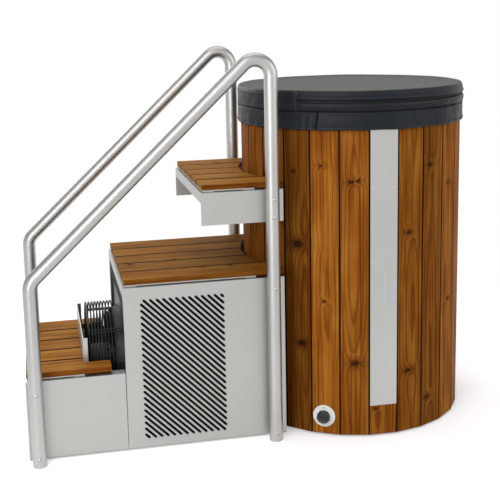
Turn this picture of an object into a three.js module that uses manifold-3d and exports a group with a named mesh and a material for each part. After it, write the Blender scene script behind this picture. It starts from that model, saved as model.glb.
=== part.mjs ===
// Cold plunge tub: a round tub clad in timber staves under a quilted lid, with a three-step stair
// of folded steel sheet and timber slats beside it. The stair houses the chiller.
// Millimetres, +Z up. The origin is on the floor, on the tub's axis. The stair runs along -X.

import * as THREE from "three";
import { mergeVertices } from "three/addons/utils/BufferGeometryUtils.js";
import Module from "manifold-3d";

const wasm = await Module();
wasm.setup();

// Driving dimensions of the tub
const STAVE_COUNT = 25;
const STAVE_FACE = 110;
const STAVE_THICKNESS = 26;
const STAVE_BOTTOM = 8;
const STAVE_TOP = 1206;
const STAVE_GROOVE = 3;
const STAVES_PER_PANEL = 5;
const PLATE_AZIMUTH = -91;
const PLINTH_HEIGHT = 30;
const INSULATION = 35;
const SHELL_WALL = 5;
const SHELL_FLOOR = 50;
const SHELL_CORNER = 20;
const RIM_MARGIN = 2.4;
const RIM_THICKNESS = 6;

// Driving dimensions of the face plate and the drain
const PLATE_WIDTH = 104;
const PLATE_THICKNESS = 2;
const PLATE_BOTTOM = 125;
const PLATE_TOP_MARGIN = 10;
const DRAIN_STAVE_INDEX = -2;
const DRAIN_OFFSET = -7;
const DRAIN_HEIGHT = 79;
const ROSE_RADIUS = 43;
const ROSE_THICKNESS = 4;
const SPIGOT_RADIUS = 17;
const SPIGOT_BORE = 10;
const SPIGOT_REACH = 10;
const KNOB_RADIUS = 25;
const KNOB_LENGTH = 22;
const KNOB_RIBS = 20;
const KNOB_RIB_DEPTH = 2;
const KNOB_GAP = 1;
const STEM_LENGTH = 30;

// Driving dimensions of the lid
const LID_THICKNESS = 102;
const LID_EDGE = 18;
const SKIRT_DROP = 36;
const SKIRT_GAP = 5;
const SKIRT_PROUD = 1;
const SKIRT_SEAM = 26;
const ZIP_DROP = 36;
const ZIP_WIDTH = 8;
const ZIP_DEPTH = 2;
const COVER_SKIN = 4;

// Driving dimensions of the stair
const STAIR_WIDTH = 640;
const SHEET = 3;
const FLANGE = 45;
const FOOT_FLANGE = 25;
const FRAME_BOTTOM = 5;
const LOWER_GOING = 363;
const MID_GOING = 297;
const TOP_DEPTH = 308;
const LOWER_TOP = 303;
const MID_TOP = 625;
const TOP_TOP = 959;
const CHEEK_HEIGHT = 121;
const HEADER_HEIGHT = 38;
const BOX_JOINT = 2.5;
const TREAD_INSET = 12.5;
const SLAT_GAP = 5;
const SLAT_THICKNESS = 20;
const SLAT_SETBACK = 6;
const SLAT_COUNT = 5;
const BEARER_WIDTH = 40;
const BEARER_INSET = 6;
const BEARER_SETBACK = 12;
const TRAY_THICKNESS = 5;
const TRAY_BEARER = 3;
const TRAY_INSET = 2;
const TUB_CLEARANCE = 13;

// Driving dimensions of the grille
const GRILLE_SIDE = 60;
const GRILLE_FOOT = 34;
const GRILLE_WIDTH = 315;
const GRILLE_HEIGHT = 540;
const GRILLE_PITCH = 24;
const GRILLE_SLOT = 10;
const FILTER_THICKNESS = 10;
const FILTER_MARGIN = 12;

// Driving dimensions of the handrails
const TUBE_RADIUS = 25;
const TUBE_WALL = 2;
const RAIL_STANDOFF = 20;
const POST_FRONT_INSET = 36;
const POST_REAR_INSET = 51;
const RAIL_KNEE = 681;
const RAIL_PEAK = 1514;
const BEND_RADIUS = 58;
const BOSS_RADIUS = 11;
const BOSS_EDGE = 28;

// Driving dimensions of the fan opening and the chiller
const SHROUD_SETBACK = 11;
const SHROUD_MARGIN = 55;
const SHROUD_DROP = 125;
const SHROUD_THICKNESS = 6;
const SHROUD_HOLE = 186;
const COLLAR_WALL = 4;
const COLLAR_LENGTH = 33;
const FAN_HEIGHT = 269;
const GUARD_GAP = 25;
const GUARD_DEPTH = 130;
const GUARD_PITCH = 12;
const GUARD_RINGS = 9;
const FACE_RINGS = 4;
const WIRE = 6;
const SPOKE_GAP = 12;
const LUG_WIDTH = 24;
const LUG_REACH = 16;
const LUG_THICKNESS = 4;
const OPENING_GAP = 30;
const OPENING_SIDE = 21;
const SLAT_END_GAP = 51;
const SHIELD_RISE = 119;
const SHIELD_DROP = 20;
const SHIELD_RETURN = 18;
const SHIELD_SIDE = 2;
const MOTOR_RADIUS = 48;
const MOTOR_LENGTH = 62;
const BOSS_PLATE = 8;
const SHAFT_RADIUS = 8;
const SHAFT_LENGTH = 32;
const FAN_GAP = 2;
const HUB_RADIUS = 50;
const HUB_LENGTH = 40;
const TIP_GAP = 10;
const BLADE_COUNT = 5;
const BLADE_PITCH = Math.PI / 7;
const BLADE_CHORD = 72;
const BLADE_THICKNESS = 3;
const CONDENSER_DEPTH = 55;
const COMPRESSOR_RADIUS = 85;
const COMPRESSOR_TOP = 330;
const COMPRESSOR_GAP = 20;
const COMPRESSOR_MARGIN = 62;
const TANK_RADIUS = 80;
const TANK_DROP = 65;
const TANK_STAVE_INDEX = -6;
const PIPE_RADIUS = 20;
const PIPE_LENGTH = 105;
const SUPPLY_HEIGHT = 150;
const RETURN_DROP = 60;

// Facets of a full turn of the tub's shell and lid
const TUB_FACETS = 50;

// Running clearance between neighbouring pieces, and how far a cutting tool runs past its cut
const CLEAR = 0.3;
const OVERCUT = 10;

// Sizes of the tub that follow from the driving dimensions
const STAVE_ANGLE = (2 * Math.PI) / STAVE_COUNT;
const FACE_RADIUS = STAVE_FACE / (2 * Math.tan(STAVE_ANGLE / 2));
const CORNER_RADIUS = STAVE_FACE / (2 * Math.sin(STAVE_ANGLE / 2));
const STAVE_BACK = FACE_RADIUS - STAVE_THICKNESS;
const SHELL_RADIUS = STAVE_BACK - INSULATION;
const SHELL_INNER = SHELL_RADIUS - SHELL_WALL;
const PLATE_ANGLE = THREE.MathUtils.degToRad(PLATE_AZIMUTH);
const STEM_RADIUS = SPIGOT_BORE - CLEAR;
const RIM_TOP = STAVE_TOP + CLEAR + RIM_THICKNESS;
const SKIRT_RADIUS = CORNER_RADIUS + SKIRT_GAP + COVER_SKIN;
const LID_RADIUS = SKIRT_RADIUS - SKIRT_PROUD;
const LID_TOP = RIM_TOP + LID_THICKNESS;
const SKIRT_BOTTOM = RIM_TOP - SKIRT_DROP;

// Sizes of the stair that follow from the driving dimensions
const HALF = STAIR_WIDTH / 2;
const INNER_HALF = HALF - SHEET;
const TREAD_HALF = HALF - TREAD_INSET;
const SLAT_WIDTH = (2 * TREAD_HALF - (SLAT_COUNT - 1) * SLAT_GAP) / SLAT_COUNT;
const ARC_RADIUS = CORNER_RADIUS + TUB_CLEARANCE;
const STAIR_END = -Math.sqrt(ARC_RADIUS ** 2 - (HALF - FLANGE) ** 2);
const TOP_FRONT = STAIR_END - TOP_DEPTH;
const MID_FRONT = TOP_FRONT - MID_GOING;
const LOWER_FRONT = MID_FRONT - LOWER_GOING;
const TRAY_END = -ARC_RADIUS - BEARER_SETBACK;
const TREAD_LIFT = TRAY_BEARER + TRAY_THICKNESS;
const RAIL_Y = HALF + RAIL_STANDOFF + TUBE_RADIUS;
const POST_FRONT = LOWER_FRONT + POST_FRONT_INSET;
const POST_REAR = STAIR_END - POST_REAR_INSET;
const FRONT_BOSSES = [FRAME_BOTTOM + BOSS_EDGE, LOWER_TOP - BOSS_EDGE];
const CHEEK_BOTTOM = TOP_TOP - CHEEK_HEIGHT;
const REAR_BOSSES = [
  FRAME_BOTTOM + BOSS_EDGE,
  MID_TOP - BOSS_EDGE,
  CHEEK_BOTTOM + BOSS_EDGE,
  TOP_TOP - BOSS_EDGE,
];

// Sizes of the fan and the chiller that follow from the driving dimensions
const TRAY_FLOOR = FRAME_BOTTOM + SHEET;
const CHILLER_FLOOR = TRAY_FLOOR + SHEET + CLEAR;
const SHROUD_FRONT = MID_FRONT + SHROUD_SETBACK;
const SHROUD_BACK = SHROUD_FRONT + SHROUD_THICKNESS;
const SHROUD_HALF = INNER_HALF - SHROUD_MARGIN;
const SHROUD_TOP = MID_TOP - SHROUD_DROP;
const GUARD_RADIUS = SHROUD_HOLE + COLLAR_WALL + GUARD_GAP;
const GUARD_FRONT = SHROUD_FRONT - GUARD_DEPTH;
const GUARD_HUB = MOTOR_RADIUS + BOSS_PLATE;
const OPENING_FRONT = GUARD_FRONT - OPENING_GAP;
const OPENING_HALF = GUARD_RADIUS + OPENING_SIDE;
const FRONT_SLAT_END = MID_FRONT - SLAT_END_GAP;
const SHIELD_TOP = LOWER_TOP + SHIELD_RISE;
const MOTOR_FRONT = GUARD_FRONT + WIRE / 2 + CLEAR;
const MOTOR_BACK = MOTOR_FRONT + MOTOR_LENGTH;
const HUB_FRONT = MOTOR_BACK + FAN_GAP;
const BLADE_TIP = SHROUD_HOLE - TIP_GAP;
const COIL_FRONT = SHROUD_BACK + CLEAR;
const COIL_BACK = COIL_FRONT + CONDENSER_DEPTH;
const TANK_TOP = MID_TOP - TANK_DROP;

// Materials
const timber = new THREE.MeshStandardMaterial({ color: 0x8a5523, roughness: 0.55, metalness: 0 });
const steel = new THREE.MeshStandardMaterial({ color: 0xb9b9b5, roughness: 0.35, metalness: 1 });
const tube = new THREE.MeshStandardMaterial({ color: 0xa9aaa8, roughness: 0.3, metalness: 1 });
const vinyl = new THREE.MeshStandardMaterial({ color: 0x3a3f44, roughness: 0.5, metalness: 0 });
const foam = new THREE.MeshStandardMaterial({ color: 0xe6e2d6, roughness: 0.9, metalness: 0 });
const liner = new THREE.MeshStandardMaterial({ color: 0xdfe3e4, roughness: 0.4, metalness: 0 });
const black = new THREE.MeshStandardMaterial({ color: 0x17181a, roughness: 0.45, metalness: 0 });
const fins = new THREE.MeshStandardMaterial({ color: 0x9a9da0, roughness: 0.5, metalness: 0.9 });
const copper = new THREE.MeshStandardMaterial({ color: 0xb06a3c, roughness: 0.35, metalness: 1 });

// Solids and meshes

function solid(geometry) {
  const bare = geometry.clone();
  bare.deleteAttribute("normal");
  bare.deleteAttribute("uv");
  const merged = mergeVertices(bare, 1e-4);
  return new wasm.Manifold(
    new wasm.Mesh({
      numProp: 3,
      vertProperties: new Float32Array(merged.attributes.position.array),
      triVerts: new Uint32Array(merged.index.array),
    }),
  );
}

function geometryOf(manifold) {
  const { vertProperties, triVerts } = manifold.getMesh();
  const indexed = new THREE.BufferGeometry();
  indexed.setAttribute("position", new THREE.BufferAttribute(vertProperties, 3));
  indexed.setIndex(new THREE.BufferAttribute(triVerts, 1));
  const faceted = indexed.toNonIndexed();
  faceted.computeVertexNormals();
  return faceted;
}

function join(...geometries) {
  return geometryOf(geometries.map(solid).reduce((a, b) => a.add(b)));
}

function cut(geometry, ...tools) {
  return geometryOf(tools.map(solid).reduce((a, b) => a.subtract(b), solid(geometry)));
}

const object = new THREE.Group();

function add(name, geometry, material) {
  const mesh = new THREE.Mesh(geometry, material);
  mesh.name = name;
  object.add(mesh);
}

// Shapes

function box(x0, x1, y0, y1, z0, z1) {
  const made = new THREE.BoxGeometry(x1 - x0, y1 - y0, z1 - z0);
  return made.translate((x0 + x1) / 2, (y0 + y1) / 2, (z0 + z1) / 2);
}

function prism(points, z0, z1) {
  const shape = new THREE.Shape(points);
  const made = new THREE.ExtrudeGeometry(shape, { depth: z1 - z0, bevelEnabled: false });
  return made.translate(0, 0, z0);
}

// A closed profile of [radius, height] points turned about +Z.
function turned(profile, segments) {
  const points = profile.map(([r, h]) => new THREE.Vector2(r, h));
  return new THREE.LatheGeometry(points, segments).rotateX(Math.PI / 2);
}

// A disc or pin about +X, from x0 to x1.
function pinX(radius, x0, x1, segments) {
  const made = new THREE.CylinderGeometry(radius, radius, x1 - x0, segments);
  return made.rotateZ(Math.PI / 2).translate((x0 + x1) / 2, 0, 0);
}

// A disc or pin about +Y, from y0 to y1.
function pinY(radius, y0, y1, segments) {
  const made = new THREE.CylinderGeometry(radius, radius, y1 - y0, segments);
  return made.translate(0, (y0 + y1) / 2, 0);
}

// A disc or pin about +Z, from z0 to z1.
function pinZ(radius, z0, z1, segments) {
  return pinY(radius, z0, z1, segments).rotateX(Math.PI / 2);
}

function mirrored(geometry) {
  const loose = geometry.index ? geometry.toNonIndexed() : geometry.clone();
  const flipped = loose.scale(1, -1, 1);
  const p = flipped.attributes.position;
  const corner = new THREE.Vector3();
  const other = new THREE.Vector3();
  for (let i = 0; i < p.count; i += 3) {
    corner.fromBufferAttribute(p, i + 1);
    other.fromBufferAttribute(p, i + 2);
    p.setXYZ(i + 1, other.x, other.y, other.z);
    p.setXYZ(i + 2, corner.x, corner.y, corner.z);
  }
  flipped.computeVertexNormals();
  return flipped;
}

function polar(radius, angle) {
  return new THREE.Vector2(radius * Math.cos(angle), radius * Math.sin(angle));
}

// Moves a piece made about +X, with x = 0 on a stave's face, to that stave.
function ontoStave(geometry, index, along, height) {
  const angle = PLATE_ANGLE + index * STAVE_ANGLE;
  return geometry.translate(FACE_RADIUS, along, height).rotateZ(angle);
}

// Tub

function drainHole() {
  const inner = SHELL_INNER - SPIGOT_REACH - OVERCUT - FACE_RADIUS;
  const hole = pinX(SPIGOT_RADIUS + CLEAR, inner, OVERCUT, 24);
  return ontoStave(hole, DRAIN_STAVE_INDEX, DRAIN_OFFSET, DRAIN_HEIGHT);
}

// Staves side by side in one panel: flat faces with a V groove at each joint.
function stavePanel(first, count) {
  const start = PLATE_ANGLE + (first - 0.5) * STAVE_ANGLE;
  const finish = start + count * STAVE_ANGLE;
  const grooveFloor = CORNER_RADIUS - STAVE_GROOVE;
  const backCorner = STAVE_BACK / Math.cos(STAVE_ANGLE / 2);
  const endShift = CLEAR / 2 / CORNER_RADIUS;
  const outline = [];
  for (let k = 0; k < count; k += 1) {
    const normal = polar(1, start + (k + 0.5) * STAVE_ANGLE);
    const along = new THREE.Vector2(-normal.y, normal.x);
    const reach = (STAVE_FACE - STAVE_GROOVE) / 2;
    for (const side of [-1, 1]) {
      outline.push(normal.clone().multiplyScalar(FACE_RADIUS).addScaledVector(along, side * reach));
    }
    if (k < count - 1) outline.push(polar(grooveFloor, start + (k + 1) * STAVE_ANGLE));
  }
  outline.push(polar(grooveFloor, finish - endShift), polar(backCorner, finish - endShift));
  for (let k = count - 1; k > 0; k -= 1) {
    outline.push(polar(backCorner, start + k * STAVE_ANGLE));
  }
  outline.push(polar(backCorner, start + endShift), polar(grooveFloor, start + endShift));
  return prism(outline, STAVE_BOTTOM, STAVE_TOP);
}

// A quarter round between a floor and a wall, from the floor up or from the wall down.
function quarter(centreR, centreZ, radius, upward) {
  const steps = 3;
  const points = [];
  for (let i = 0; i <= steps; i += 1) {
    const a = ((upward ? i : steps - i) / steps) * (Math.PI / 2);
    points.push([centreR + radius * Math.sin(a), centreZ - radius * Math.cos(a)]);
  }
  return points;
}

function innerShell() {
  const rimUnder = STAVE_TOP + CLEAR;
  const rimRadius = FACE_RADIUS - RIM_MARGIN;
  const cornerR = SHELL_RADIUS - SHELL_CORNER;
  const cornerZ = SHELL_FLOOR + SHELL_CORNER;
  return turned(
    [
      [0, SHELL_FLOOR],
      ...quarter(cornerR, cornerZ, SHELL_CORNER, true),
      [SHELL_RADIUS, rimUnder],
      [rimRadius, rimUnder],
      [rimRadius, RIM_TOP],
      [SHELL_INNER, RIM_TOP],
      ...quarter(cornerR, cornerZ, SHELL_CORNER - SHELL_WALL, false),
      [0, SHELL_FLOOR + SHELL_WALL],
    ],
    TUB_FACETS,
  );
}

// The foam sleeve round the liner, which stands on the foam disc under it.
function insulationSleeve() {
  const outer = STAVE_BACK - CLEAR;
  const inner = SHELL_RADIUS + CLEAR;
  const foot = SHELL_FLOOR;
  return turned(
    [[inner, foot], [outer, foot], [outer, STAVE_TOP], [inner, STAVE_TOP], [inner, foot]],
    TUB_FACETS,
  );
}

function buildTub() {
  add("tub_base", pinZ(STAVE_BACK - CLEAR, 0, PLINTH_HEIGHT, TUB_FACETS), black);
  add("insulation_base", pinZ(STAVE_BACK - CLEAR, PLINTH_HEIGHT + CLEAR, SHELL_FLOOR - CLEAR, TUB_FACETS), foam);
  add("insulation_jacket", cut(insulationSleeve(), drainHole()), foam);
  add("inner_shell", cut(innerShell(), drainHole()), liner);
  const lead = Math.floor(STAVES_PER_PANEL / 2);
  for (let done = 0; done < STAVE_COUNT; done += STAVES_PER_PANEL) {
    const count = Math.min(STAVES_PER_PANEL, STAVE_COUNT - done);
    const bare = stavePanel(done - lead, count);
    const name = `stave_panel_${done / STAVES_PER_PANEL + 1}`;
    add(name, cut(bare, drainHole()), timber);
  }
  const half = PLATE_WIDTH / 2;
  const plate = box(CLEAR, CLEAR + PLATE_THICKNESS, -half, half, PLATE_BOTTOM, STAVE_TOP - PLATE_TOP_MARGIN);
  add("face_plate", ontoStave(plate, 0, 0, 0), steel);
}

// Drain

function knob() {
  const grip = new THREE.Shape();
  const count = KNOB_RIBS * 4;
  for (let i = 0; i < count; i += 1) {
    const p = polar(i % 4 < 2 ? KNOB_RADIUS : KNOB_RADIUS - KNOB_RIB_DEPTH, (i / count) * 2 * Math.PI);
    if (i === 0) grip.moveTo(p.x, p.y);
    else grip.lineTo(p.x, p.y);
  }
  grip.closePath();
  const back = CLEAR + ROSE_THICKNESS + KNOB_GAP;
  const body = new THREE.ExtrudeGeometry(grip, { depth: KNOB_LENGTH, bevelEnabled: false });
  body.rotateY(Math.PI / 2).translate(back, 0, 0);
  return join(body, pinX(STEM_RADIUS, back - STEM_LENGTH, back + KNOB_LENGTH / 2, 20));
}

function buildDrain() {
  const place = [DRAIN_STAVE_INDEX, DRAIN_OFFSET, DRAIN_HEIGHT];
  const front = CLEAR + ROSE_THICKNESS;
  const rose = pinX(ROSE_RADIUS, CLEAR, front, 40);
  const roseHole = pinX(SPIGOT_RADIUS + CLEAR, CLEAR - OVERCUT, front + OVERCUT, 24);
  add("drain_rose", ontoStave(cut(rose, roseHole), ...place), liner);
  const inner = SHELL_INNER - SPIGOT_REACH - FACE_RADIUS;
  const spigot = pinX(SPIGOT_RADIUS, inner, front, 24);
  const bore = pinX(SPIGOT_BORE, inner - OVERCUT, front + OVERCUT, 20);
  add("drain_spigot", ontoStave(cut(spigot, bore), ...place), black);
  add("drain_knob", ontoStave(knob(), ...place), black);
}

// Lid

// The lid's rounded top edge, from the crown out and down.
function lidEdge(inset) {
  const radius = LID_EDGE - inset;
  const steps = 3;
  const points = [];
  for (let i = 0; i <= steps; i += 1) {
    const a = (i / steps) * (Math.PI / 2);
    points.push([
      LID_RADIUS - LID_EDGE + radius * Math.sin(a),
      LID_TOP - LID_EDGE + radius * Math.cos(a),
    ]);
  }
  return points;
}

function lidCover() {
  const seam = RIM_TOP + SKIRT_SEAM;
  const zip = LID_TOP - ZIP_DROP;
  const zipFloor = LID_RADIUS - ZIP_DEPTH;
  return turned(
    [
      [0, LID_TOP - COVER_SKIN],
      ...lidEdge(COVER_SKIN),
      [LID_RADIUS - COVER_SKIN, RIM_TOP + CLEAR],
      [SKIRT_RADIUS - COVER_SKIN, RIM_TOP],
      [SKIRT_RADIUS - COVER_SKIN, SKIRT_BOTTOM],
      [SKIRT_RADIUS, SKIRT_BOTTOM],
      [SKIRT_RADIUS, seam - SKIRT_PROUD],
      [LID_RADIUS, seam],
      [LID_RADIUS, zip - ZIP_WIDTH / 2],
      [zipFloor, zip - ZIP_WIDTH / 8],
      [zipFloor, zip + ZIP_WIDTH / 8],
      [LID_RADIUS, zip + ZIP_WIDTH / 2],
      ...lidEdge(0).reverse(),
      [0, LID_TOP],
    ],
    TUB_FACETS,
  );
}

function lidCore() {
  const inset = COVER_SKIN + CLEAR;
  const under = RIM_TOP + CLEAR;
  const rim = [LID_RADIUS - inset, under];
  return turned([[0, under], rim, ...lidEdge(inset).reverse(), [0, LID_TOP - inset]], TUB_FACETS);
}

function buildLid() {
  add("lid_core", lidCore(), foam);
  add("lid_cover", lidCover(), vinyl);
}

// Stair

// Folded side sheet of a box on the near side: a web with a top flange and a foot flange.
function sideSheet(x0, x1, z0, z1) {
  return join(
    box(x0, x1, -HALF, -INNER_HALF, z0, z1),
    box(x0, x1, -HALF, -HALF + FLANGE, z1 - SHEET, z1),
    box(x0, x1, -HALF, -HALF + FOOT_FLANGE, z0, z0 + SHEET),
  );
}

// A slanted slot with round ends, cut out of the near side.
function slot(a, b) {
  const along = b.clone().sub(a);
  const angle = Math.atan2(along.y, along.x);
  const r = GRILLE_SLOT / 2;
  const shape = new THREE.Shape();
  shape.absarc(a.x, a.y, r, angle + Math.PI / 2, angle + (3 * Math.PI) / 2, false);
  shape.absarc(b.x, b.y, r, angle - Math.PI / 2, angle + Math.PI / 2, false);
  const depth = SHEET + 2 * OVERCUT;
  const made = new THREE.ExtrudeGeometry(shape, { depth, bevelEnabled: false, curveSegments: 2 });
  return made.rotateX(Math.PI / 2).translate(0, -INNER_HALF + OVERCUT, 0);
}

// Slots at 45 degrees, down to the right, filling the grille's rectangle.
function grilleSlots() {
  const left = MID_FRONT + GRILLE_SIDE + GRILLE_SLOT / 2;
  const right = left + GRILLE_WIDTH - GRILLE_SLOT;
  const bottom = FRAME_BOTTOM + GRILLE_FOOT + GRILLE_SLOT / 2;
  const top = bottom + GRILLE_HEIGHT - GRILLE_SLOT;
  const slots = [];
  for (let sum = left + bottom + GRILLE_PITCH / 2; sum < right + top; sum += GRILLE_PITCH) {
    const high = Math.min(top, sum - left);
    const low = Math.max(bottom, sum - right);
    slots.push(slot(new THREE.Vector2(sum - high, high), new THREE.Vector2(sum - low, low)));
  }
  return slots;
}

function midSide() {
  const sheet = sideSheet(MID_FRONT, STAIR_END, FRAME_BOTTOM, MID_TOP);
  const fold = box(MID_FRONT, MID_FRONT + SHEET, -HALF, -HALF + FOOT_FLANGE, FRAME_BOTTOM, MID_TOP);
  const headerRoom = box(MID_FRONT - OVERCUT, MID_FRONT + SHEET + CLEAR, -INNER_HALF - CLEAR, 0,
    MID_TOP - HEADER_HEIGHT - CLEAR, MID_TOP + OVERCUT);
  return cut(join(sheet, fold), headerRoom);
}

function midHeader() {
  const flangeReach = HALF - FLANGE - CLEAR;
  return join(
    box(MID_FRONT, MID_FRONT + SHEET, -INNER_HALF, INNER_HALF, MID_TOP - HEADER_HEIGHT, MID_TOP),
    box(MID_FRONT, MID_FRONT + FLANGE, -flangeReach, flangeReach, MID_TOP - SHEET, MID_TOP),
  );
}

function buildLowerBox() {
  const near = sideSheet(LOWER_FRONT, MID_FRONT - BOX_JOINT, FRAME_BOTTOM, LOWER_TOP);
  add("lower_side_near", near, steel);
  add("lower_side_far", mirrored(near), steel);
  const reach = INNER_HALF - CLEAR;
  const inset = SHEET + CLEAR;
  const riser = box(LOWER_FRONT, LOWER_FRONT + SHEET, -reach, reach, FRAME_BOTTOM + inset, LOWER_TOP - inset);
  add("lower_riser", riser, steel);
}

// A filter mat behind the grille.
function grilleFilter() {
  const x0 = MID_FRONT + GRILLE_SIDE - FILTER_MARGIN;
  const z0 = FRAME_BOTTOM + GRILLE_FOOT - FILTER_MARGIN;
  const x1 = x0 + GRILLE_WIDTH + 2 * FILTER_MARGIN;
  const z1 = z0 + GRILLE_HEIGHT + 2 * FILTER_MARGIN;
  const front = CLEAR - INNER_HALF;
  return box(x0, x1, front, front + FILTER_THICKNESS, z0, z1);
}

function buildMidBox() {
  const side = midSide();
  add("mid_side_near", cut(side, ...grilleSlots()), steel);
  add("mid_side_far", mirrored(side), steel);
  add("mid_header", midHeader(), steel);
  add("grille_filter", grilleFilter(), black);
}

// The top step's bracket: two cheeks and a lip folded from one sheet.
function topBracket() {
  const cheek = join(
    box(TOP_FRONT, STAIR_END, -HALF, -INNER_HALF, CHEEK_BOTTOM, TOP_TOP),
    box(TOP_FRONT, STAIR_END, -HALF, -HALF + FLANGE, TOP_TOP - SHEET, TOP_TOP),
  );
  const lip = box(TOP_FRONT, TOP_FRONT + SHEET, -HALF, HALF, TOP_TOP - HEADER_HEIGHT, TOP_TOP);
  return join(cheek, mirrored(cheek), lip);
}

function bearer(name, x0, z0) {
  const reach = TREAD_HALF - BEARER_INSET;
  add(name, box(x0, x0 + BEARER_WIDTH, -reach, reach, z0, z0 + TRAY_BEARER), steel);
}

// The rear end of a slat follows the tub's curve, up to the end of the stair.
function slatRear(y) {
  return Math.min(-Math.sqrt(ARC_RADIUS ** 2 - y ** 2), STAIR_END);
}

function curvedSlat(front, y0, y1, z0) {
  const outline = [new THREE.Vector2(front, y1), new THREE.Vector2(front, y0)];
  const steps = 6;
  for (let i = 0; i <= steps; i += 1) {
    const y = y0 + ((y1 - y0) * i) / steps;
    outline.push(new THREE.Vector2(slatRear(y), y));
  }
  return prism(outline, z0, z0 + SLAT_THICKNESS);
}

// The outer slats of the lowest step run on beside the fan opening, cut narrower there.
function lowerSlat(index, z0) {
  const front = LOWER_FRONT + SLAT_SETBACK;
  const [y0, y1] = slatRange(index);
  const z1 = z0 + SLAT_THICKNESS;
  const plain = box(front, OPENING_FRONT, y0, y1, z0, z1);
  const isOuter = index === 0 || index === SLAT_COUNT - 1;
  if (!isOuter) return plain;
  const edge = box(OPENING_FRONT - OVERCUT, FRONT_SLAT_END, -TREAD_HALF, -OPENING_HALF, z0, z1);
  return join(plain, index === 0 ? edge : mirrored(edge));
}

function slatRange(index) {
  const y0 = -TREAD_HALF + index * (SLAT_WIDTH + SLAT_GAP);
  return [y0, y0 + SLAT_WIDTH];
}

// Two bearers across a box's flanges and the tray on them, which carries the slats.
function treadSupport(step, boxTop, front, rear) {
  bearer(`${step}_bearer_front`, front + BEARER_SETBACK, boxTop);
  bearer(`${step}_bearer_rear`, rear - BEARER_WIDTH, boxTop);
  const reach = TREAD_HALF - TRAY_INSET;
  const under = boxTop + TRAY_BEARER;
  const trayFront = front + SLAT_SETBACK + TRAY_INSET;
  add(`${step}_tray`, box(trayFront, rear, -reach, reach, under, under + TRAY_THICKNESS), steel);
}

function buildTreads() {
  treadSupport("lower", LOWER_TOP, LOWER_FRONT, OPENING_FRONT);
  treadSupport("mid", MID_TOP, MID_FRONT, TRAY_END);
  treadSupport("top", TOP_TOP, TOP_FRONT, TRAY_END);
  for (let i = 0; i < SLAT_COUNT; i += 1) {
    const range = slatRange(i);
    add(`lower_slat_${i + 1}`, lowerSlat(i, LOWER_TOP + TREAD_LIFT), timber);
    add(`mid_slat_${i + 1}`, curvedSlat(MID_FRONT + SLAT_SETBACK, ...range, MID_TOP + TREAD_LIFT), timber);
    add(`top_slat_${i + 1}`, curvedSlat(TOP_FRONT + SLAT_SETBACK, ...range, TOP_TOP + TREAD_LIFT), timber);
  }
}

// Handrails

// A path through chosen stations, each with its own direction.
class Stations extends THREE.Curve {
  constructor(points, tangents) {
    super();
    this.points = points;
    this.tangents = tangents;
  }
  getPointAt(u) {
    return this.points[Math.round(u * (this.points.length - 1))].clone();
  }
  getTangentAt(u, target = new THREE.Vector3()) {
    return target.copy(this.tangents[Math.round(u * (this.tangents.length - 1))]);
  }
}

// Up the front post, along the slope, over the peak and down the rear post.
function railPath(overrun) {
  const slope = Math.atan2(RAIL_PEAK - RAIL_KNEE, POST_REAR - POST_FRONT);
  const points = [new THREE.Vector3(POST_FRONT, 0, -overrun)];
  const tangents = [new THREE.Vector3(0, 0, 1)];
  const bend = (x, z, from, to, steps) => {
    const turn = Math.abs(to - from);
    const tangentLength = BEND_RADIUS * Math.tan(turn / 2);
    const centre = new THREE.Vector2(
      x - tangentLength * Math.cos(from) + BEND_RADIUS * Math.sin(from),
      z - tangentLength * Math.sin(from) - BEND_RADIUS * Math.cos(from),
    );
    for (let i = 0; i <= steps; i += 1) {
      const heading = from + ((to - from) * i) / steps;
      points.push(new THREE.Vector3(
        centre.x - BEND_RADIUS * Math.sin(heading),
        0,
        centre.y + BEND_RADIUS * Math.cos(heading),
      ));
      tangents.push(new THREE.Vector3(Math.cos(heading), 0, Math.sin(heading)));
    }
  };
  bend(POST_FRONT, RAIL_KNEE, Math.PI / 2, slope, 4);
  bend(POST_REAR, RAIL_PEAK, slope, -Math.PI / 2, 8);
  points.push(new THREE.Vector3(POST_REAR, 0, -overrun));
  tangents.push(new THREE.Vector3(0, 0, -1));
  return new Stations(points, tangents);
}

function railSweep(radius, overrun) {
  const path = railPath(overrun);
  const shape = new THREE.Shape().absarc(0, 0, radius, 0, 2 * Math.PI, false);
  return new THREE.ExtrudeGeometry(shape, {
    steps: path.points.length - 1,
    curveSegments: 8,
    extrudePath: path,
  });
}

// The near rail: a bent tube, with welded bosses that hold it off the side sheets.
function handrail() {
  const reach = RAIL_Y - HALF;
  const bosses = [
    ...FRONT_BOSSES.map((z) => pinY(BOSS_RADIUS, 0, reach, 16).translate(POST_FRONT, 0, z)),
    ...REAR_BOSSES.map((z) => pinY(BOSS_RADIUS, 0, reach, 16).translate(POST_REAR, 0, z)),
  ];
  const whole = join(railSweep(TUBE_RADIUS, 0), ...bosses);
  return cut(whole, railSweep(TUBE_RADIUS - TUBE_WALL, OVERCUT)).translate(0, -RAIL_Y, 0);
}

function buildRails() {
  const near = handrail();
  add("rail_near", near, tube);
  add("rail_far", mirrored(near), tube);
}

// Fan opening and chiller

function shield() {
  const front = OPENING_FRONT + CLEAR;
  const reach = OPENING_HALF - SHIELD_SIDE;
  const end = box(front, front + SHIELD_RETURN, -reach, -reach + SHEET, LOWER_TOP, SHIELD_TOP);
  const web = box(front, front + SHEET, -reach, reach, LOWER_TOP - SHIELD_DROP, SHIELD_TOP);
  return join(web, end, mirrored(end));
}

// A ring of square wire about +X.
function wireRing(radius, x) {
  const w = WIRE / 2;
  const profile = [[radius - w, -w], [radius + w, -w], [radius + w, w], [radius - w, w], [radius - w, -w]];
  return turned(profile, 20).rotateY(Math.PI / 2).translate(x, 0, 0);
}

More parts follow.
